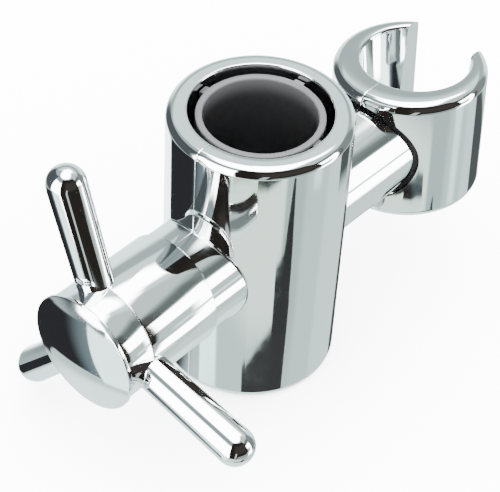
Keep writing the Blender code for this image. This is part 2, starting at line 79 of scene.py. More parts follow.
bm = bmesh.new()
bmesh.ops.create_grid(bm, x_segments=1, y_segments=1, size=TABLE_SIDE / 2)
table_mesh = bpy.data.meshes.new("table_top")
bm.to_mesh(table_mesh)
bm.free()
table = bpy.data.objects.new("table_top", table_mesh)
bpy.context.scene.collection.objects.link(table)
table.location.z = -TABLE_DROP
table_white, _, table_shader = new_material("table_white")
table_shader.inputs["Base Color"].default_value = (0.94, 0.94, 0.94, 1.0)
table_shader.inputs["Roughness"].default_value = 0.9
table_shader.inputs["Specular IOR Level"].default_value = 0.0
table_mesh.materials.append(table_white)
table.visible_glossy = False


# Studio light
# An even white tent lights the table and the plastic. What the chrome mirrors is laid out round it:
# white and grey boards with the dark room between them, each one a patch of directions.
TENT_WHITE = 16.0
WALL_COLOUR = (0.56, 0.69, 0.69)
BOARD_AZIMUTHS = (130.0, -230.0)
BOARDS = (
    # Four corners as azimuth (from -Y towards +X) and elevation in degrees, from the lower left
    # one round to the upper left one; softness of the lower, right, upper and left edge; colour.
    # A board covers those above it in the list.
    # back wall, on both sides of the slider
    (((-232, -30), (-196, -30), (-196, 14), (-232, 14)), (4, 12, 14, 4), (1.98, 2.47, 2.5)),
    (((-196, -22), (-128, -22), (-128, 60), (-196, 22)), (8, 6, 6, 22), (0.1, 0.115, 0.125)),
    (((44, -30), (80, -30), (80, 36), (44, 36)), (6, 8, 6, 6), (0.27, 0.33, 0.32)),
    (((46, -28), (54, -28), (54, 14), (46, 14)), (5, 5, 8, 3), (0.14, 0.15, 0.15)),
    (((84, -28), (140, -28), (140, 14), (84, 14)), (4, 4, 14, 14), (1.8, 2.21, 2.3)),
    (((60, 35), (140, 35), (140, 95), (60, 95)), (5, 4, 4, 10), (1.35, 1.65, 1.6)),
    (((-240, 35), (-188, 35), (-188, 95), (-240, 95)), (5, 10, 4, 4), (1.35, 1.65, 1.6)),
    (((84, 51), (140, 51), (140, 95), (84, 95)), (9, 4, 4, 14), (16, 16, 16)),
    (((-240, 57), (-200, 57), (-200, 95), (-240, 95)), (8, 14, 4, 4), (16, 16, 16)),
    # ceiling, and the grey gap under it
    (((-132, 36), (-70, 36), (-70, 72), (-132, 72)), (8, 4, 4, 8), (0.396, 0.494, 0.52)),
    (((-260, 66), (160, 66), (160, 95), (-260, 95)), 8, (16, 16, 16)),
    (((21, 42), (70, 42), (66, 67), (21, 67)), (8, 10, 9, 3), (0.882, 1.07, 1.04)),
    (((20, 26), (50, 26), (50, 39), (20, 39)), (1.5, 8, 11, 2), (0.18, 0.216, 0.21)),
    (((18, 22), (28, 22), (28, 39), (18, 39)), (3, 6, 8, 2), (0.13, 0.13, 0.13)),
    # tall white board on the left and the window on the right
    (((-124, -19), (-75, -25), (-75, 40), (-124, 40)), (3, 3, 10, 5), (16, 16, 16)),
    (((21, -31), (46, -31), (46, 22), (21, 24)), (5, 3, 3, 2), (15, 15, 15)),
    (((20, -15), (37, -15), (37, 5), (20, 6.5)), (2.5, 6, 3, 2), (0.855, 1.07, 1.07)),
    (((28, -9.5), (46, -9.5), (46, -5.5), (28, -5.5)), (1.5, 2, 1.5, 4), (1.6, 1.95, 1.9)),
    # the dark room behind the camera, with a light strip in it
    (((-75, -27), (-34, -27), (-34, 64), (-75, 60)), (2, 2, 1.5, 2), (0.025, 0.021, 0.019)),
    (((-44, -27.5), (22, -24), (22, 53), (-44, 65)), (2, 2, 1.5, 2), (0.028, 0.024, 0.021)),
    (((-50, 0), (18, 0), (18, 44), (-50, 44)), 16, (0.06, 0.052, 0.047)),
    (((-36, -25), (15, -25), (15, -13), (-34, -15)), (3, 4, 3, 4), (0.42, 0.51, 0.49)),
    (((14, -27), (24, -27), (24, -9), (14, -9)), (3, 3, 2, 2), (0.585, 0.721, 0.7)),
    (((-50, -24), (-42, -24), (-37, 5), (-44, 5)), (2, 2, 4, 2), (0.765, 0.906, 0.88)),
    # low boards and the floor beyond the table
    (((-260, -95), (160, -95), (160, -30), (-260, -30)), 3, (0.9, 1.13, 1.12)),
    (((-18, -50), (12, -50), (12, -29), (-18, -29)), (8, 10, 2, 4), (0.666, 0.845, 0.83)),
    (((22, -39.4), (33, -39.4), (33, -29), (22, -29)), (0.8, 8, 2, 7), (1.53, 1.91, 1.85)),
    (((45, -56), (100, -56), (100, -29), (45, -29)), (4, 8, 2, 8), (1.1, 1.38, 1.34)),
    (((-260, -95), (160, -95), (160, -55), (-260, -55)), 6, (1.8, 2.21, 2.2)),
    (((-84, -48), (-14, -48), (-14, -32), (-84, -32)), (4, 5, 5, 8), (1.5, 1.86, 1.66)),
    (((-222, -44), (-181, -45), (-181, -30), (-222, -30)), (2, 1, 3, 6), (4.5, 5.36, 5.2)),
    (((-218, -50.5), (-178, -52.5), (-178, -45), (-218, -44)), (1.5, 1, 1.5, 4), (0.05, 0.05, 0.05)),
    (((-182, -50), (-105, -50), (-105, -19), (-182, -36)), (1, 1, 1.5, 1), (0.032, 0.033, 0.037)),
    (((-182, -53), (-158, -49), (-158, -44), (-182, -44)), 1, (0.034, 0.034, 0.037)),
    (((-127, -49.5), (-105, -49.5), (-105, -19), (-127, -19)), (1, 1, 1.5, 18), (0.225, 0.299, 0.33)),
    (((-117, -52), (-92, -52), (-78, -24), (-117, -21)), (3, 5, 3, 1.2), (2.43, 3.04, 3)),
    # dark stands that show in the body's wall and in the cradle's
    (((-78, -38.4), (-60, -38.2), (-60, -37.5), (-78, -37.8)), 0.3, (0.03, 0.027, 0.025)),
    (((-62, -38.3), (-48, -37.7), (-48, -36.4), (-62, -37.4)), 0.3, (0.03, 0.027, 0.025)),
    (((-49, -38.9), (-36, -38.9), (-36, -36), (-49, -36)), 0.3, (0.026, 0.024, 0.024)),
    (((-37, -38.9), (-20.5, -38.3), (-21.5, -36), (-37, -36)), 0.3, (0.045, 0.06, 0.075)),
    (((-54, -55), (3, -55), (2.5, -45.5), (-54, -50.2)), (0.6, 0.8, 0.5, 0.8), (0.056, 0.058, 0.06)),
    (((-18.5, -47.6), (2.6, -47.6), (0, -41.8), (-19.6, -43.6)), 0.5, (0.05, 0.052, 0.054)),
    (((-19.8, -43.7), (1.3, -44.2), (-3.8, -37), (-5.4, -38.4)), 0.4, (0.045, 0.047, 0.049)),
    (((68.5, -40.3), (102, -40.3), (104, -38), (62, -31)), 1.2, (0.1, 0.115, 0.12)),
    (((98, -49), (116, -49), (114, -40), (100, -40)), 1.5, (0.08, 0.09, 0.095)),
)

studio = bpy.data.worlds.new("studio")
bpy.context.scene.world = studio
studio.use_nodes = True
# light is found by each surface's own rays alone, so that no mirror catches the tent
studio.cycles.sampling_method = "NONE"
studio.node_tree.nodes.clear()


def math_node(tree, operation, *sources):
    """The output of a math node that is fed with numbers and other nodes' outputs."""
    node = tree.nodes.new("ShaderNodeMath")
    node.operation = operation
    for number, source in enumerate(sources):
        if isinstance(source, (int, float)):
            node.inputs[number].default_value = source
        else:
            tree.links.new(source, node.inputs[number])
    return node.outputs[0]


def spread(tree, value, start, end, low=0.0, high=1.0, smooth=False):
    """A value moved from one range to another and held at both ends."""
    node = tree.nodes.new("ShaderNodeMapRange")
    if smooth:
        node.interpolation_type = "SMOOTHSTEP"
    tree.links.new(value, node.inputs["Value"])
    for name, number in (("From Min", start), ("From Max", end), ("To Min", low), ("To Max", high)):
        node.inputs[name].default_value = number
    return node.outputs["Result"]


def mix_colours(tree, share, first, second):
    """A mix of two colours, each of them a tuple or another node's output."""
    node = tree.nodes.new("ShaderNodeMix")
    node.data_type = "RGBA"
    tree.links.new(share, node.inputs[0])
    for socket, colour in ((node.inputs[6], first), (node.inputs[7], second)):
        if isinstance(colour, tuple):
            socket.default_value = (*colour, 1.0)
        else:
            tree.links.new(colour, socket)
    return node.outputs[2]


def board_group():
    """Mask of a four-cornered board: how far inside each of its edges the direction lies."""
    group = bpy.data.node_groups.new("studio_board", "ShaderNodeTree")
    for name in ("Direction", "Edge 1", "Edge 2", "Edge 3", "Edge 4"):
        group.interface.new_socket(name, in_out="INPUT", socket_type="NodeSocketVector")
    group.interface.new_socket("Mask", in_out="OUTPUT", socket_type="NodeSocketFloat")
    entry = group.nodes.new("NodeGroupInput")
    leave = group.nodes.new("NodeGroupOutput")
    mask = 1.0
    for number in range(1, 5):
        inside = group.nodes.new("ShaderNodeVectorMath")
        inside.operation = "DOT_PRODUCT"
        group.links.new(entry.outputs["Direction"], inside.inputs[0])
        group.links.new(entry.outputs[f"Edge {number}"], inside.inputs[1])
        fade = spread(group, inside.outputs["Value"], -0.5, 0.5, smooth=True)
        mask = math_node(group, "MULTIPLY", mask, fade)
    group.links.new(mask, leave.inputs["Mask"])
    return group


def edge_row(start, end, softness):
    """A board's edge as a row that gives how far to its left a direction is, in softnesses."""
    across = Vector((start[1] - end[1], end[0] - start[0])).normalized() / softness
    return (across.x, across.y, -across.dot(Vector(start)))


def lay_studio(tree):
    """Boards by azimuth and elevation for mirrored rays, and the white tent for all others."""
    parts = tree.nodes.new("ShaderNodeSeparateXYZ")
    tree.links.new(tree.nodes.new("ShaderNodeTexCoord").outputs["Generated"], parts.inputs[0])
    heading = math_node(tree, "ARCTAN2", parts.outputs["X"],
                        math_node(tree, "MULTIPLY", parts.outputs["Y"], -1.0))
    azimuth = math_node(tree, "WRAP", math_node(tree, "DEGREES", heading), *BOARD_AZIMUTHS)
    elevation = math_node(tree, "DEGREES", math_node(tree, "ARCSINE", parts.outputs["Z"]))
    place = tree.nodes.new("ShaderNodeCombineXYZ")
    tree.links.new(azimuth, place.inputs["X"])
    tree.links.new(elevation, place.inputs["Y"])
    place.inputs["Z"].default_value = 1.0
    group = board_group()
    mirrored = WALL_COLOUR
    for corners, softness, colour in BOARDS:
        board = tree.nodes.new("ShaderNodeGroup")
        board.node_tree = group
        tree.links.new(place.outputs[0], board.inputs["Direction"])
        each = softness if isinstance(softness, tuple) else (softness,) * 4
        for number, corner in enumerate(corners):
            row = edge_row(corner, corners[(number + 1) % 4], each[number])
            board.inputs[f"Edge {number + 1}"].default_value = row
        mirrored = mix_colours(tree, board.outputs["Mask"], mirrored, colour)
    ray = tree.nodes.new("ShaderNodeLightPath")
    background = tree.nodes.new("ShaderNodeBackground")
    output = tree.nodes.new("ShaderNodeOutputWorld")
    seen = mix_colours(tree, ray.outputs["Is Glossy Ray"], (TENT_WHITE,) * 3, mirrored)
    tree.links.new(seen, background.inputs["Color"])
    tree.links.new(background.outputs[0], output.inputs["Surface"])


lay_studio(studio.node_tree)


# Chrome
# The mouldings are ABS plated with copper, nickel and bright chromium: a cool mirror with a faint
# waviness that it takes from the plastic under it.
CHROME_COLOUR = (0.87, 0.885, 0.885)
CHROME_SMEAR = 0.96
CHROME_ROUGHNESS = 0.045
WAVES_PER_METRE = 90.0
WAVE_HEIGHT = 0.012 * MM
SMEARS_PER_METRE = 240.0
SMEAR_BAND = (0.35, 0.75)
SMEAR_GLOSS = (CHROME_ROUGHNESS * 0.7, CHROME_ROUGHNESS * 1.6)


def noise(tree, place, scale, detail):
    """The value of a cloudy pattern."""
    node = tree.nodes.new("ShaderNodeTexNoise")
    node.inputs["Scale"].default_value = scale
    node.inputs["Detail"].default_value = detail
    tree.links.new(place, node.inputs["Vector"])
    return node.outputs["Fac"]


def emboss(tree, shader, height, distance):
    """Small relief in a shader's normal."""
    bump = tree.nodes.new("ShaderNodeBump")
    bump.inputs["Strength"].default_value = 1.0
    bump.inputs["Distance"].default_value = distance
    tree.links.new(height, bump.inputs["Height"])
    tree.links.new(bump.outputs["Normal"], shader.inputs["Normal"])


chrome, tree, shader = new_material("bright_chrome")
shader.inputs["Metallic"].default_value = 1.0
spot = tree.nodes.new("ShaderNodeTexCoord").outputs["Object"]
emboss(tree, shader, noise(tree, spot, WAVES_PER_METRE, 1.0), WAVE_HEIGHT)
smears = noise(tree, spot, SMEARS_PER_METRE, 3.0)
tree.links.new(spread(tree, smears, *SMEAR_BAND, *SMEAR_GLOSS), shader.inputs["Roughness"])
tree.links.new(mix_colours(tree, smears, CHROME_COLOUR, tuple(c * CHROME_SMEAR for c in CHROME_COLOUR)),
               shader.inputs["Base Color"])


# Body
# Tube that rides on the rail, with a round boss for the clamp and a longer stub for the cradle,
# all one plated moulding. Its tool parted along the level axis, which leaves a fine line there.
BODY_R = 18.6 * MM
BODY_HEIGHT = 63.4 * MM
BODY_BORE_R = 14.4 * MM
BODY_EDGE = 2.0 * MM
PARTING_WIDTH = 0.26 * MM
PARTING_DEPTH = 0.05 * MM
PARTING_SPLITS = (-1.0, -0.5, 0.0, 0.5, 1.0)
CREASE = math.radians(32.0)
BORE_EDGE = 0.35 * MM
AXIS_HEIGHT = 32.0 * MM
BOSS_R = 11.4 * MM
BOSS_END = 24.2 * MM
SPIGOT_R = 9.6 * MM
SPIGOT_END = 28.2 * MM
STUB_R = 11.4 * MM
SADDLE_R = 16.95 * MM
CRADLE_CENTRE = 51.3 * MM
FOOT_FILLET = 0.45 * MM
FOOT = 4.0 * MM
FOOT_RINGS = 6
FOOT_SUNK = Vector((0.2 * MM, -1.2 * MM))
BORE_CLEAR = 11.2 * MM
WALL_REACH = 16.0 * MM
BUSH_HEAD_FLATS = 14.6 * MM
BUSH_HEAD_END = 20.35 * MM
BUSH_HOLE_R = 6.3 * MM
NUT_FLOOR = 19.1 * MM
NUT_HOLE_R = 4.6 * MM
SOCKET_FLOOR = 28.3 * MM
SOCKET_R = 7.4 * MM

to_knob = Matrix.Translation((0.0, 0.0, AXIS_HEIGHT)) @ Matrix.Rotation(-math.pi / 2, 4, "Y")
to_cradle = Matrix.Translation((0.0, 0.0, AXIS_HEIGHT)) @ Matrix.Rotation(math.pi / 2, 4, "Y")


def bend(centre_r, centre_z, radius, start, end, steps):
    """Points of a round in a turned outline, in degrees from the outward direction."""
    angles = [math.radians(start + (end - start) * i / steps) for i in range(steps + 1)]
    return [(centre_r + radius * math.cos(a), centre_z + radius * math.sin(a)) for a in angles]


def turn_outline(outline, steps, closed=True):
    """Turn an outline of radius and height about Z into a closed bmesh."""
    bm = bmesh.new()
    verts = [bm.verts.new((r, 0.0, z)) for r, z in outline]
    edges = [bm.edges.new(pair) for pair in zip(verts, verts[1:])]
    if closed:
        edges.append(bm.edges.new((verts[-1], verts[0])))
    bmesh.ops.spin(bm, geom=verts + edges, cent=(0.0, 0.0, 0.0), axis=(0.0, 0.0, 1.0),
                   angle=2 * math.pi, steps=steps, use_merge=True)
    bmesh.ops.remove_doubles(bm, verts=bm.verts, dist=0.0005 * MM)
    bmesh.ops.recalc_face_normals(bm, faces=bm.faces)
    return bm


def shape(bm, name, place=None):
    """Link a bmesh as an object, with its place kept in the mesh."""
    if place is not None:
        bmesh.ops.transform(bm, matrix=place, verts=bm.verts)
    mesh = bpy.data.meshes.new(name)
    bm.to_mesh(mesh)
    bm.free()
    made = bpy.data.objects.new(name, mesh)
    bpy.context.scene.collection.objects.link(made)
    return made


def carve(piece, steps):
    """Booleans of a piece with several tools, which are used up."""
    for operation, tool in steps:
        boolean = piece.modifiers.new(tool.name, "BOOLEAN")
        boolean.operation = operation
        boolean.solver = "EXACT"
        boolean.object = tool
    bpy.context.view_layer.update()
    evaluated = piece.evaluated_get(bpy.context.evaluated_depsgraph_get())
    carved = bpy.data.meshes.new_from_object(evaluated)
    piece.modifiers.clear()
    old = piece.data
    piece.data = carved
    carved.name = piece.name
    bpy.data.meshes.remove(old)
    for _, tool in steps:
        tool_mesh = tool.data
        bpy.data.objects.remove(tool)
        bpy.data.meshes.remove(tool_mesh)
    bm = bmesh.new()
    bm.from_mesh(carved)
    bmesh.ops.remove_doubles(bm, verts=bm.verts, dist=0.003 * MM)
    bmesh.ops.dissolve_degenerate(bm, edges=bm.edges, dist=0.002 * MM)
    bm.to_mesh(carved)
    bm.free()
    return piece


def finish_piece(piece, mat, body, nodes):
    """Smooth the rounds, keep the creases, and give the piece its finish, body and slot."""
    piece.data.shade_smooth()
    piece.data.set_sharp_from_angle(angle=CREASE)
    piece.data.materials.clear()
    piece.data.materials.append(mat)
    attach(piece, body)
    if nodes:
        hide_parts(*nodes)


def hexagon(across_flats, low, high, place):
    """A hexagonal tool from one height to another."""
    bm = bmesh.new()
    corner = across_flats / 2 / math.cos(math.pi / 6)
    bmesh.ops.create_cone(bm, cap_ends=True, segments=6, radius1=corner, radius2=corner, depth=high - low,
                          matrix=place @ Matrix.Translation((0.0, 0.0, (low + high) / 2)))
    return shape(bm, "hexagon_tool")


def rod(radius, low, high, steps, place=None):
    """A round tool from one height to another."""
    return shape(turn_outline([(0.0, high), (radius, high), (radius, low), (0.0, low)], steps, False),
                 "rod_tool", place)


def footed_rod(outline, radius, steps, name):
    """A turned boss whose inner end flares in a small fillet to meet the body's round wall."""
    bm = turn_outline(outline, steps, False)
    for vert in bm.verts:
        r = math.hypot(vert.co.x, vert.co.y)
        ring = round((FOOT - vert.co.z) / MM)
        if ring < 0 or r < radius * 0.9:
            continue
        # the outline has the rings of the foot one millimetre apart, and each finds its place here
        share = min(ring / FOOT_RINGS, 1.0)
        sine = vert.co.y / r
        tilt = math.sqrt(1.0 - (radius * sine / BODY_R) ** 2)
        corner = Vector((radius, math.sqrt(BODY_R ** 2 - (radius * sine) ** 2)))
        start = corner + Vector((0.0, FOOT_FILLET))
        spread_r = radius + FOOT_FILLET * tilt
        end = Vector((spread_r, math.sqrt(BODY_R ** 2 - (spread_r * sine) ** 2)))
        place = (1 - share) ** 2 * start + 2 * share * (1 - share) * corner + share ** 2 * end
        if ring > FOOT_RINGS:
            place = end + FOOT_SUNK
        vert.co.x *= place.x / r
        vert.co.y *= place.x / r
        vert.co.z = place.y
    return shape(bm, name)


def part_line(piece, place, outside):
    """The fine witness line where a tool's two halves met, in the plane across the piece's own Y."""
    bm = bmesh.new()
    bm.from_mesh(piece.data)
    bmesh.ops.transform(bm, matrix=place.inverted(), verts=bm.verts)
    for offset in PARTING_SPLITS:
        bmesh.ops.bisect_plane(bm, geom=bm.verts[:] + bm.edges[:] + bm.faces[:], dist=0.0001 * MM,
                               plane_co=(0.0, offset * PARTING_WIDTH, 0.0), plane_no=(0.0, 1.0, 0.0))
    bm.normal_update()
    groove = [v for v in bm.verts if abs(v.co.y) < 0.001 * MM and outside(v.co)]
    sunk = [v.co - PARTING_DEPTH * v.normal for v in groove]
    for vert, place_in in zip(groove, sunk):
        vert.co = (place_in.x, 0.0, place_in.z)
    bmesh.ops.transform(bm, matrix=place, verts=bm.verts)
    bm.to_mesh(piece.data)
    bm.free()


body_outline = (
    [(BODY_BORE_R + BORE_EDGE, 0.0), *bend(BODY_R - BODY_EDGE, BODY_EDGE, BODY_EDGE, -90, 0, 14)]
    + bend(BODY_R - BODY_EDGE, BODY_HEIGHT - BODY_EDGE, BODY_EDGE, 0, 90, 14)
    + bend(BODY_BORE_R + BORE_EDGE, BODY_HEIGHT - BORE_EDGE, BORE_EDGE, 90, 180, 5)
    + bend(BODY_BORE_R + BORE_EDGE, BORE_EDGE, BORE_EDGE, 180, 270, 5)[:-1])
body = shape(turn_outline(body_outline, 256), "plated_body")
foot_rings = [(BOSS_R, FOOT - i * MM) for i in range(FOOT_RINGS + 2)]
boss = footed_rod([(0.0, SPIGOT_END), (SPIGOT_R, SPIGOT_END), (SPIGOT_R, BOSS_END), (BOSS_R, BOSS_END),
                   *foot_rings, (0.0, WALL_REACH)], BOSS_R, 192, "boss_tool")
boss.data.transform(to_knob)
stub = footed_rod([(0.0, CRADLE_CENTRE), (STUB_R, CRADLE_CENTRE), *foot_rings, (0.0, WALL_REACH)],
                  STUB_R, 192, "stub_tool")
stub.data.transform(to_cradle)
saddle = rod(SADDLE_R, 0.0, BODY_HEIGHT, 256, Matrix.Translation((CRADLE_CENTRE, 0.0, 0.0)))
carve(stub, [("DIFFERENCE", saddle)])
carve(body, [
    ("UNION", boss),
    ("UNION", stub),
    ("DIFFERENCE", hexagon(BUSH_HEAD_FLATS, BORE_CLEAR, BUSH_HEAD_END, to_knob)),
    ("DIFFERENCE", rod(BUSH_HOLE_R, BORE_CLEAR, SPIGOT_END + MM, 64, to_knob)),
    ("DIFFERENCE", rod(NUT_HOLE_R, NUT_FLOOR, SOCKET_FLOOR + 0.1 * MM, 64, to_cradle)),
    ("DIFFERENCE", rod(SOCKET_R, SOCKET_FLOOR, CRADLE_CENTRE, 96, to_cradle)),
])
part_line(body, Matrix.Identity(4), lambda co: abs(co.x) > BODY_BORE_R + 0.6 * MM
          and abs(co.z - AXIS_HEIGHT) > BOSS_R - 0.2 * MM)
finish_piece(body, chrome, "slider", ["slider_body"])


# Rail bush
# Dark grey acetal tube that lines the body. Four ribs, one a little off each quarter, hold it in
# the middle of the bore, and a round window lets the brake shoe through to the rail.
BUSH_INNER_R = 11.4 * MM
BUSH_OUTER_R = 12.85 * MM
BUSH_INSET = 1.2 * MM
BUSH_EDGE = 0.25 * MM
BUSH_BORE_EDGE = 0.4 * MM
RIB_REACH = 14.1 * MM
RIB_WIDTH = 2.2 * MM
RIB_INSET = 0.5 * MM
RIB_TURN = math.radians(7.0)
RIB_EDGE = 0.2 * MM
RIB_ROOT = 0.6 * MM
SHOE_WINDOW_R = 6.5 * MM
SHOE_WINDOW_START = 5.0 * MM
GRAINS_PER_METRE = 1500.0
CLOUDS_PER_METRE = 120.0
CLOUD_TINT = (0.85, 1.15)
CLOUD_SHEEN = (-0.08, 0.08)
# painted shade down the bush's bore: its colour, how far in from each mouth it fades, and how much of the
# colour stays at the mouths
PAINTED_BORE_SHADE = (0.005, 0.005, 0.0055)
BORE_SHADE_DEPTH = 5.0 * MM
BORE_SHADE_MOUTH_SHARE = 0.6
WALL_BAND = (0.2 * MM, 0.5 * MM)
END_BAND = (0.7 * MM, 0.4 * MM)


def effect_group(name, inputs, outputs):
    """An empty node group with its named sockets, and its two ends."""
    group = bpy.data.node_groups.new(name, "ShaderNodeTree")
    for in_out, sockets in (("INPUT", inputs), ("OUTPUT", outputs)):
        for label, kind in sockets:
            group.interface.new_socket(label, in_out=in_out, socket_type=f"NodeSocket{kind}")
    return group, group.nodes.new("NodeGroupInput"), group.nodes.new("NodeGroupOutput")


def scaled(tree, colour, share):
    """A colour output times a value output."""
    node = tree.nodes.new("ShaderNodeVectorMath")
    node.operation = "SCALE"
    tree.links.new(colour, node.inputs[0])
    tree.links.new(share, node.inputs["Scale"])
    return node.outputs[0]


moulding, entry, leave = effect_group(
    "moulding_grain", (("Place", "Vector"), ("Base", "Color"), ("Sheen", "Float")),
    (("Colour", "Color"), ("Roughness", "Float"), ("Grain", "Float")))
clouds = noise(moulding, entry.outputs["Place"], CLOUDS_PER_METRE, 3.0)
tint = spread(moulding, clouds, 0.0, 1.0, *CLOUD_TINT)
gloss = spread(moulding, clouds, 0.0, 1.0, *CLOUD_SHEEN)
moulding.links.new(scaled(moulding, entry.outputs["Base"], tint), leave.inputs["Colour"])
moulding.links.new(math_node(moulding, "ADD", entry.outputs["Sheen"], gloss), leave.inputs["Roughness"])
moulding.links.new(noise(moulding, entry.outputs["Place"], GRAINS_PER_METRE, 2.0), leave.inputs["Grain"])


def moulded_finish(name, colour, roughness, grain):
    """Unpainted moulding: fine tool texture and a slightly uneven sheen."""
    mat, tree, shader = new_material(name)
    shader.inputs["Specular IOR Level"].default_value = 0.3
    effect = tree.nodes.new("ShaderNodeGroup")
    effect.node_tree = moulding
    tree.links.new(tree.nodes.new("ShaderNodeTexCoord").outputs["Object"], effect.inputs["Place"])
    effect.inputs["Base"].default_value = (*colour, 1.0)
    effect.inputs["Sheen"].default_value = roughness
    tree.links.new(effect.outputs["Colour"], shader.inputs["Base Color"])
    tree.links.new(effect.outputs["Roughness"], shader.inputs["Roughness"])
    emboss(tree, shader, effect.outputs["Grain"], grain)
    return mat


def paint_bore_shade(mat, low, high):
    """Keep the colour on the end faces and paint shade on the rest: black deep in the bore and on the hidden
    outer wall, fading to part of the colour towards each mouth.
    """
    tree = mat.node_tree
    shader = tree.nodes["Principled BSDF"]
    parts = tree.nodes.new("ShaderNodeSeparateXYZ")
    tree.links.new(tree.nodes["Texture Coordinate"].outputs["Object"], parts.inputs[0])
    half = (high - low) / 2
    height = math_node(tree, "ABSOLUTE", math_node(tree, "SUBTRACT", parts.outputs["Z"], (low + high) / 2))
    squares = [math_node(tree, "POWER", parts.outputs[axis], 2.0) for axis in "XY"]
    radius = math_node(tree, "SQRT", math_node(tree, "ADD", *squares))
    wall = spread(tree, radius, BUSH_INNER_R + WALL_BAND[0], BUSH_INNER_R + WALL_BAND[1], smooth=True)
    fade = spread(tree, height, half - BORE_SHADE_DEPTH, half, smooth=True)
    faded = math_node(tree, "MULTIPLY", math_node(tree, "MULTIPLY", fade, BORE_SHADE_MOUTH_SHARE),
                      math_node(tree, "SUBTRACT", 1.0, wall))
    end_face = spread(tree, height, half - END_BAND[0], half - END_BAND[1], smooth=True)
    mask = math_node(tree, "MAXIMUM", end_face, faded)
    colour = shader.inputs["Base Color"].links[0].from_socket
    tree.links.new(mix_colours(tree, mask, PAINTED_BORE_SHADE, colour), shader.inputs["Base Color"])


grey_acetal = moulded_finish("grey_acetal", (0.034, 0.035, 0.037), 0.42, 0.01 * MM)
bush_low, bush_high = BUSH_INSET, BODY_HEIGHT - BUSH_INSET
# painted shade down the bore, black deep inside where little light reaches
paint_bore_shade(grey_acetal, bush_low, bush_high)
bore_edge_r = BUSH_INNER_R + BUSH_BORE_EDGE
bush_outline = (bend(BUSH_OUTER_R - BUSH_EDGE, bush_low + BUSH_EDGE, BUSH_EDGE, -90, 0, 3)
                + bend(BUSH_OUTER_R - BUSH_EDGE, bush_high - BUSH_EDGE, BUSH_EDGE, 0, 90, 3)
                + bend(bore_edge_r, bush_high - BUSH_BORE_EDGE, BUSH_BORE_EDGE, 90, 180, 4)
                + bend(bore_edge_r, bush_low + BUSH_BORE_EDGE, BUSH_BORE_EDGE, 180, 270, 4))
rail_bush = shape(turn_outline(bush_outline, 224), "rail_bush")
ribs = []
for i in range(4):
    bm = bmesh.new()
    start = BUSH_OUTER_R - RIB_ROOT
    size = Matrix.Diagonal((RIB_REACH - start, RIB_WIDTH, bush_high - bush_low - 2 * RIB_INSET, 1.0))
    spot = Matrix.Translation(((RIB_REACH + start) / 2, 0.0, (bush_low + bush_high) / 2))
    bmesh.ops.create_cube(bm, size=1.0, matrix=spot @ size)
    outer = [e for e in bm.edges if min(v.co.x for v in e.verts) > BUSH_OUTER_R]
    bmesh.ops.bevel(bm, geom=outer, offset=RIB_EDGE, offset_type="OFFSET", affect="EDGES", segments=2,
                    profile=0.5, material=-1)
    ribs.append(("UNION", shape(bm, "rib_tool", Matrix.Rotation(RIB_TURN + i * math.pi / 2, 4, "Z"))))
carve(rail_bush, ribs + [("DIFFERENCE", rod(SHOE_WINDOW_R, SHOE_WINDOW_START, BODY_BORE_R, 96, to_knob))])
finish_piece(rail_bush, grey_acetal, "slider", ["rail_insert"])


# Knob
# Two plated halves that meet at a fine seam on the spokes' own axis and grip the necks of the
# three spokes. One screw through the front half draws them together.
KNOB_R = 12.1 * MM
KNOB_INNER_R = 10.2 * MM
KNOB_EDGE = 0.2 * MM
KNOB_START = 24.25 * MM
KNOB_SPLIT = 41.6 * MM
KNOB_END = 48.1 * MM
SEAM_GAP = 0.06 * MM
SKIRT_FLOOR = 30.7 * MM
SCREW_HEAD_FLATS = 13.6 * MM
SCREW_HEAD_START = 32.7 * MM
SCREW_HOLE_R = 4.0 * MM
HUB_HOLE_R = 2.5 * MM
HUB_SEAT_R = 4.5 * MM
HUB_SCREW_SEAT = 44.4 * MM
HUB_RECESS_FLOOR = 46.6 * MM
SPOKE_TURN = math.radians(19.0)
SPOKE_TIP = 37.4 * MM
SPOKE_ROOT = 6.2 * MM
SPOKE_ROOT_R = 3.65 * MM
SPOKE_TIP_R = 3.95 * MM
SPOKE_NECK_R = 2.7 * MM
SPOKE_NECK_LOW = 7.7 * MM
SPOKE_NECK_HIGH = 9.5 * MM


def spoke_outline(clearance):
    """A spoke's outline from its round nose to its neck and root, all larger by the clearance."""
    nose = bend(0.0, SPOKE_TIP - SPOKE_TIP_R, SPOKE_TIP_R + clearance, 90, 0, 16)
    root_r = SPOKE_ROOT_R + clearance
    neck_r = SPOKE_NECK_R + clearance
    return [(0.0, nose[0][1]), *nose[1:], (root_r, SPOKE_NECK_HIGH - clearance),
            (neck_r, SPOKE_NECK_HIGH - clearance), (neck_r, SPOKE_NECK_LOW + clearance),
            (root_r, SPOKE_NECK_LOW + clearance), (root_r, SPOKE_ROOT - clearance),
            (0.0, SPOKE_ROOT - clearance)]


def spoke_place(number):
    angle = -SPOKE_TURN - 2 * math.pi * number / 3
    return Matrix.Translation((-KNOB_SPLIT, 0.0, AXIS_HEIGHT)) @ Matrix.Rotation(angle, 4, "X")


def spoke_seats():
    """The three spokes as tools, larger by half a seam."""
    return [("DIFFERENCE", shape(turn_outline(spoke_outline(SEAM_GAP / 2), 72, False), "seat_tool",
                                 spoke_place(i))) for i in range(3)]


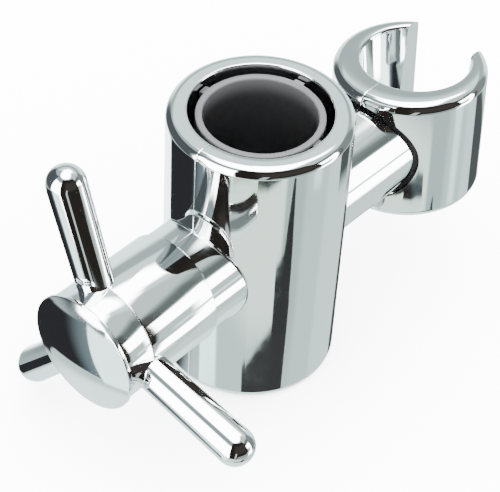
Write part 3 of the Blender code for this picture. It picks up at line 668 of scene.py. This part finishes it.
sleeve_end = KNOB_SPLIT - SEAM_GAP / 2
sleeve = shape(turn_outline([
    (0.0, sleeve_end), *bend(KNOB_R - KNOB_EDGE, sleeve_end - KNOB_EDGE, KNOB_EDGE, 90, 0, 4),
    *bend(KNOB_R - KNOB_EDGE, KNOB_START + KNOB_EDGE, KNOB_EDGE, 0, -90, 4),
    (KNOB_INNER_R, KNOB_START), (KNOB_INNER_R, SKIRT_FLOOR), (0.0, SKIRT_FLOOR)], 224, False),
    "knob_rear_half", to_knob)
carve(sleeve, [
    ("DIFFERENCE", hexagon(SCREW_HEAD_FLATS, SCREW_HEAD_START, KNOB_SPLIT, to_knob)),
    ("DIFFERENCE", rod(SCREW_HOLE_R, SKIRT_FLOOR - MM, KNOB_SPLIT, 64, to_knob)),
    *spoke_seats()])
finish_piece(sleeve, chrome, "knob", ["knob_sleeve"])

hub_start = KNOB_SPLIT + SEAM_GAP / 2
hub = shape(turn_outline([
    (KNOB_INNER_R, KNOB_END), *bend(KNOB_R - KNOB_EDGE, KNOB_END - KNOB_EDGE, KNOB_EDGE, 90, 0, 4),
    *bend(KNOB_R - KNOB_EDGE, hub_start + KNOB_EDGE, KNOB_EDGE, 0, -90, 4),
    (HUB_HOLE_R, hub_start), (HUB_HOLE_R, HUB_SCREW_SEAT), (HUB_SEAT_R, HUB_SCREW_SEAT),
    (HUB_SEAT_R, HUB_RECESS_FLOOR), (KNOB_INNER_R, HUB_RECESS_FLOOR)], 224), "knob_front_half", to_knob)
carve(hub, spoke_seats())
finish_piece(hub, chrome, "knob", ["knob_hub"])

for i in range(3):
    spoke = shape(turn_outline(spoke_outline(0.0), 96, False), f"plated_spoke_{i + 1}", spoke_place(i))
    finish_piece(spoke, chrome, "knob", [f"spoke_{i + 1}"])


# Knob cap
# Thin domed disc, plated as the rest, whose edge stands a little proud of the hub. A short skirt
# is pressed in the hub's recess and hides the hub screw.
CAP_OVERHANG = 0.55 * MM
CAP_LIFT = 0.3 * MM
CAP_RIM = 0.7 * MM
CAP_DOME = 2.1 * MM
CAP_WALL = 1.1 * MM
CAP_SKIRT = 1.3 * MM
CAP_EDGE = 0.22 * MM

cap_low = KNOB_END + SEAM_GAP
cap_high = KNOB_END + CAP_LIFT + CAP_RIM
cap_r = KNOB_R + CAP_OVERHANG
dome_edge_r = cap_r - CAP_EDGE
dome_r = (dome_edge_r ** 2 + CAP_DOME ** 2) / (2 * CAP_DOME)
dome_centre = cap_high + CAP_DOME - dome_r
dome_angle = math.degrees(math.asin(dome_edge_r / dome_r))
skirt_outer = KNOB_INNER_R - SEAM_GAP
skirt_inner = skirt_outer - CAP_WALL
inside_r = dome_r - CAP_WALL
inside_angle = math.degrees(math.asin(skirt_inner / inside_r))
outside = bend(0.0, dome_centre, dome_r, 90, 90 - dome_angle, 24)
inside = bend(0.0, dome_centre, inside_r, 90 - inside_angle, 90, 10)
cap = shape(turn_outline([
    (0.0, outside[0][1]), *outside[1:-1], *bend(cap_r - CAP_EDGE, cap_high - CAP_EDGE, CAP_EDGE, 80, 0, 4),
    *bend(cap_r - CAP_EDGE, cap_low + CAP_EDGE, CAP_EDGE, 0, -90, 4), (skirt_outer, cap_low),
    (skirt_outer, cap_low - CAP_SKIRT), (skirt_inner, cap_low - CAP_SKIRT), *inside[:-1],
    (0.0, inside[-1][1])], 224, False), "knob_cap_disc", to_knob)
finish_piece(cap, chrome, "knob", ["knob_cap"])


# Cradle
# Open ring that the handset's tapered handle drops in, with a flat-sided mouth for its hose. It
# turns stiffly on a spigot in the stub, and one screw through its back holds it.
CRADLE_R = 16.9 * MM
CRADLE_LOW = -15.95 * MM
CRADLE_HIGH = 14.85 * MM
CRADLE_TILT = math.radians(-3.6)
CRADLE_EDGE = 2.2 * MM
CRADLE_BORE_OFFSET = 1.85 * MM
CRADLE_BORE_TOP = 12.0 * MM
CRADLE_BORE_BOTTOM = 10.2 * MM
CRADLE_BORE_EDGE = 0.8 * MM
CRADLE_MOUTH = 8.6 * MM
CRADLE_LIP = 0.6 * MM
CRADLE_SPIGOT_R = 7.1 * MM
CRADLE_SPIGOT_END = 29.6 * MM
CRADLE_SPIGOT_ROOT = 39.5 * MM
CRADLE_SCREW_SEAT = 36.7 * MM
CRADLE_SCREW_HOLE_R = 2.65 * MM
CRADLE_SCREW_HEAD_R = 4.6 * MM
POCKET_R = 12.3 * MM
POCKET_FLOOR_R = 15.0 * MM
POCKET_TOOL_START = 28.0 * MM
# the black disc in the pocket's floor, which paints shade into the gap round the stub's end
SHADE_DISC_R = 12.15 * MM
SHADE_DISC_BED = 0.05 * MM
SHADE_DISC_INNER_R = 7.4 * MM
SHADE_DISC_HOLE_START = 20.0 * MM
SHADE_DISC_FACE_R = 15.6 * MM

tilted = Matrix.Translation((0.0, 0.0, AXIS_HEIGHT)) @ Matrix.Rotation(CRADLE_TILT, 4, "X")
cradle_axis = tilted @ Matrix.Rotation(math.pi / 2, 4, "Y")
at_cradle = tilted @ Matrix.Translation((CRADLE_CENTRE, 0.0, 0.0))
ring = shape(turn_outline([
    (0.0, CRADLE_HIGH), *bend(CRADLE_R - CRADLE_EDGE, CRADLE_HIGH - CRADLE_EDGE, CRADLE_EDGE, 90, 0, 14),
    *bend(CRADLE_R - CRADLE_EDGE, CRADLE_LOW + CRADLE_EDGE, CRADLE_EDGE, 0, -90, 14), (0.0, CRADLE_LOW)],
    240, False), "cradle_ring", at_cradle)
bore_place = tilted @ Matrix.Translation((CRADLE_CENTRE + CRADLE_BORE_OFFSET, 0.0, 0.0))
bore_top = CRADLE_BORE_TOP + CRADLE_BORE_EDGE
bore_bottom = CRADLE_BORE_BOTTOM + CRADLE_BORE_EDGE
bore = shape(turn_outline([
    (0.0, CRADLE_HIGH + MM), (bore_top, CRADLE_HIGH + MM),
    *bend(bore_top, CRADLE_HIGH - CRADLE_BORE_EDGE, CRADLE_BORE_EDGE, 90, 180, 8),
    *bend(bore_bottom, CRADLE_LOW + CRADLE_BORE_EDGE, CRADLE_BORE_EDGE, 180, 270, 8),
    (bore_bottom, CRADLE_LOW - MM), (0.0, CRADLE_LOW - MM)], 240, False), "bore_tool", bore_place)
lip_x = CRADLE_CENTRE + math.sqrt(CRADLE_R ** 2 - CRADLE_MOUTH ** 2)
side = [(CRADLE_CENTRE + CRADLE_BORE_OFFSET, CRADLE_MOUTH),
        *bend(lip_x - CRADLE_LIP, CRADLE_MOUTH + CRADLE_LIP, CRADLE_LIP, 270, 360, 6),
        (lip_x, CRADLE_MOUTH + 4 * MM), (lip_x + 4 * MM, CRADLE_MOUTH + 4 * MM)]
bm = bmesh.new()
floor_face = bm.faces.new([bm.verts.new((x, y, CRADLE_LOW - MM))
                           for x, y in side[::-1] + [(x, -y) for x, y in side]])
lifted = bmesh.ops.extrude_face_region(bm, geom=[floor_face])["geom"]
bmesh.ops.translate(bm, verts=[v for v in lifted if isinstance(v, bmesh.types.BMVert)],
                    vec=(0.0, 0.0, CRADLE_HIGH - CRADLE_LOW + 2 * MM))
bmesh.ops.recalc_face_normals(bm, faces=bm.faces)
mouth = shape(bm, "mouth_tool", tilted)


def saddle_rod(radius, floor_radius, name):
    """A rod along the swivel axis that ends on a cylinder about the cradle's own axis."""
    tool = rod(radius, POCKET_TOOL_START, CRADLE_CENTRE, 192, cradle_axis)
    tool.name = name
    return carve(tool, [("DIFFERENCE", rod(floor_radius, 2 * CRADLE_LOW, 2 * CRADLE_HIGH, 240, at_cradle))])


def outside_of_ring(co):
    """Whether a point is on the ring's outer back, above or below the pocket."""
    top_edge = CRADLE_CENTRE + CRADLE_BORE_OFFSET - bore_top
    return co.z > POCKET_R and co.x < top_edge or co.z < -POCKET_R and co.x < CRADLE_CENTRE - CRADLE_BORE_TOP


# one at a time, because in a single chain the screw's hole and its seat leave the ring open
for step in (
        ("DIFFERENCE", saddle_rod(POCKET_R, POCKET_FLOOR_R, "pocket_tool")),
        ("UNION", rod(CRADLE_SPIGOT_R, CRADLE_SPIGOT_END, CRADLE_SPIGOT_ROOT, 96, cradle_axis)),
        ("DIFFERENCE", bore),
        ("DIFFERENCE", mouth),
        ("DIFFERENCE", rod(CRADLE_SCREW_HOLE_R, CRADLE_SPIGOT_END - MM, CRADLE_CENTRE, 48, cradle_axis)),
        ("DIFFERENCE", rod(CRADLE_SCREW_HEAD_R, CRADLE_SCREW_SEAT, CRADLE_CENTRE - MM, 72, cradle_axis))):
    carve(ring, [step])
part_line(ring, tilted, outside_of_ring)
finish_piece(ring, chrome, "cradle", ["cradle"])

black_acetal = moulded_finish("black_acetal", (0.006, 0.006, 0.007), 0.5, 0.008 * MM)
# painted shade: a black disc bedded in the pocket's floor, clear of the stub's end, darkens the gap round
# the stub
pocket_shade_disc = saddle_rod(SHADE_DISC_R, POCKET_FLOOR_R + SHADE_DISC_BED, "cradle_pocket_shade")
carve(pocket_shade_disc, [("INTERSECT", rod(SHADE_DISC_FACE_R, 2 * CRADLE_LOW, 2 * CRADLE_HIGH, 240, at_cradle)),
             ("DIFFERENCE", rod(SHADE_DISC_INNER_R, SHADE_DISC_HOLE_START, CRADLE_CENTRE, 96, cradle_axis))])
finish_piece(pocket_shade_disc, black_acetal, "cradle", [])


# Clamp and screws
# What the knob works: a black shoe on the rail, a brass bush with a hexagonal head, a zinc plated
# clamp screw and hub screw, and at the cradle a brass nut, two washers and one more screw.
MARKS_ALONG = 60.0
MARK_TINT = (0.8, 1.0)
MARK_SHEEN = (-0.1, 0.12)

marking, entry, leave = effect_group(
    "tool_marks", (("Place", "Vector"), ("Stretch", "Vector"), ("Base", "Color"), ("Sheen", "Float")),
    (("Colour", "Color"), ("Roughness", "Float")))
stretch = marking.nodes.new("ShaderNodeMapping")
marking.links.new(entry.outputs["Place"], stretch.inputs["Vector"])
marking.links.new(entry.outputs["Stretch"], stretch.inputs["Scale"])
marks = noise(marking, stretch.outputs["Vector"], 1.0, 4.0)
tint = spread(marking, marks, 0.0, 1.0, *MARK_TINT)
gloss = spread(marking, marks, 0.0, 1.0, *MARK_SHEEN)
marking.links.new(scaled(marking, entry.outputs["Base"], tint), leave.inputs["Colour"])
marking.links.new(math_node(marking, "ADD", entry.outputs["Sheen"], gloss), leave.inputs["Roughness"])


def metal_finish(name, colour, roughness, streak):
    """Turned or plated metal, with tool marks round its axis in the roughness and the colour."""
    mat, tree, shader = new_material(name)
    shader.inputs["Metallic"].default_value = 1.0
    effect = tree.nodes.new("ShaderNodeGroup")
    effect.node_tree = marking
    tree.links.new(tree.nodes.new("ShaderNodeTexCoord").outputs["Object"], effect.inputs["Place"])
    effect.inputs["Stretch"].default_value = (streak, MARKS_ALONG, MARKS_ALONG)
    effect.inputs["Base"].default_value = (*colour, 1.0)
    effect.inputs["Sheen"].default_value = roughness
    tree.links.new(effect.outputs["Colour"], shader.inputs["Base Color"])
    tree.links.new(effect.outputs["Roughness"], shader.inputs["Roughness"])
    return mat


turned_brass = metal_finish("turned_brass", (0.80, 0.58, 0.25), 0.3, 4000.0)
bright_zinc = metal_finish("bright_zinc", (0.66, 0.68, 0.70), 0.32, 2500.0)
for mat, names in (
        (black_acetal, ("brake_shoe", "friction_washer")),
        (turned_brass, ("threaded_bush", "stub_nut")),
        (bright_zinc, ("clamp_screw", "hub_screw", "hub_washer", "spring_washer", "cradle_screw"))):
    for name in names:
        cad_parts[name].material_slots[0].material = mat
